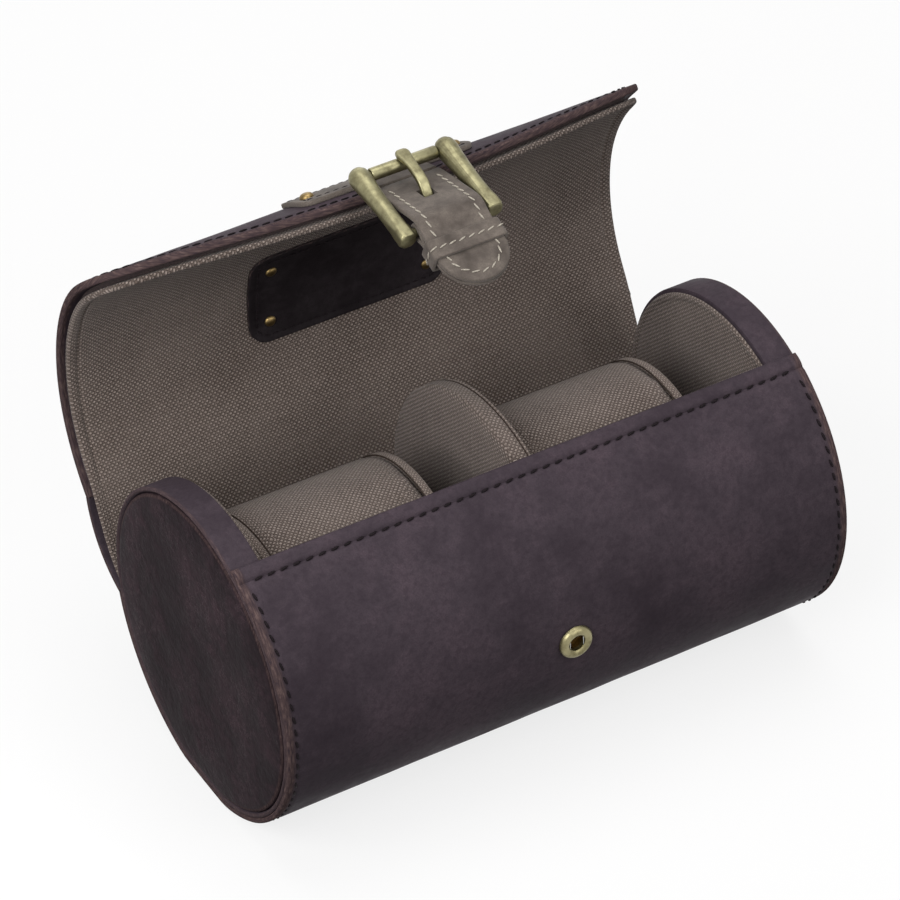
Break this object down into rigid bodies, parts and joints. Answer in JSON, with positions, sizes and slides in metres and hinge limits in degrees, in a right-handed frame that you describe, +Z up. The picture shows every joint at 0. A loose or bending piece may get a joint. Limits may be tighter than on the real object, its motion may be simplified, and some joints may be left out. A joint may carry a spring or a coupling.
{
  "type": "watch roll box",
  "caption": "Round leather watch box with flat foot, curved lid on a leather hinge, buckled strap with press snap, divider and lift-out watch pillows.",
  "frame": {"origin": "middle of the flat foot under the drum, on the floor", "axes": "+X along the drum, +Y towards the hinge, so the snap faces -Y, +Z up"},
  "size_m": [0.1736, 0.1271, 0.1526],
  "materials": {
    "plum_leather": "smooth waxed plum-brown leather, satin",
    "nubuck": "matt grey-brown nubuck with pale stitching",
    "label_leather": "near-black smooth leather, left bare",
    "canvas": "coarse taupe canvas",
    "padded_canvas": "foam covered with taupe canvas",
    "pillow_canvas": "padded roll covered with taupe canvas",
    "welt_canvas": "lighter canvas binding",
    "fibreboard": "raw fibreboard, hidden",
    "card": "grey-brown board, hidden",
    "spring_steel": "bright wire",
    "antique_brass": "antique brass, softly polished"
  },
  "bodies": {
    "drum": {"wrap": "plum_leather", "shell_lining": "canvas", "end_core_left": "fibreboard", "end_core_right": "fibreboard", "end_panel_left": "plum_leather", "end_panel_right": "plum_leather", "end_band_left": "plum_leather", "end_band_right": "plum_leather", "end_canvas_left": "canvas", "end_canvas_right": "canvas", "divider_core": "fibreboard", "divider_cover": "canvas", "divider_panel": "canvas", "cradle_left": "padded_canvas", "cradle_right": "padded_canvas", "snap_socket": "antique_brass", "snap_spring": "spring_steel", "snap_back": "antique_brass", "hinge_leather": "plum_leather", "hinge_canvas": "canvas"},
    "pillow_left": {"pillow_left": "pillow_canvas", "pillow_welts_left": "welt_canvas"},
    "pillow_right": {"pillow_right": "pillow_canvas", "pillow_welts_right": "welt_canvas"},
    "lid": {"lid_leather": "plum_leather", "lid_board": "card", "lid_lining": "canvas", "label_patch": "label_leather", "label_rivets": "antique_brass", "strap_yoke": "nubuck", "yoke_rivets": "antique_brass"},
    "strap": {"strap_tongue": "nubuck", "strap_billet": "nubuck", "keeper": "nubuck", "snap_stud": "antique_brass"},
    "buckle": {"buckle_frame": "antique_brass"},
    "roller": {"buckle_roller": "antique_brass"},
    "prong": {"buckle_prong": "antique_brass"}
  },
  "joints": [
    {"name": "lid_hinge", "type": "hinge", "parent": "drum", "child": "lid", "pos_m": [0, 0.0449, 0.0517], "axis": [1, 0, 0], "range_deg": [-60, 66], "deforming": ["hinge_leather", "hinge_canvas"]},
    {"name": "strap_flex", "type": "hinge", "parent": "lid", "child": "strap", "pos_m": [0, 0.03885, 0.14387], "axis": [1, 0, 0], "range_deg": [-45, 4]},
    {"name": "buckle_swing", "type": "hinge", "parent": "strap", "child": "buckle", "pos_m": [0, 0.01731, 0.1451], "axis": [1, 0, 0], "range_deg": [-3, 2]},
    {"name": "prong_swing", "type": "hinge", "parent": "buckle", "child": "prong", "pos_m": [0, 0.01731, 0.1451], "axis": [1, 0, 0], "range_deg": [0, 3]},
    {"name": "roller_spin", "type": "hinge", "parent": "buckle", "child": "roller", "pos_m": [0, 0.04032, 0.14877], "axis": [1, 0, 0], "continuous": true},
    {"name": "pillow_left_lift", "type": "slide", "parent": "drum", "child": "pillow_left", "axis": [0, -0.438, -0.899], "range_m": [-0.06, 0]},
    {"name": "pillow_right_lift", "type": "slide", "parent": "drum", "child": "pillow_right", "axis": [0, -0.438, -0.899], "range_m": [-0.06, 0]}
  ]
}
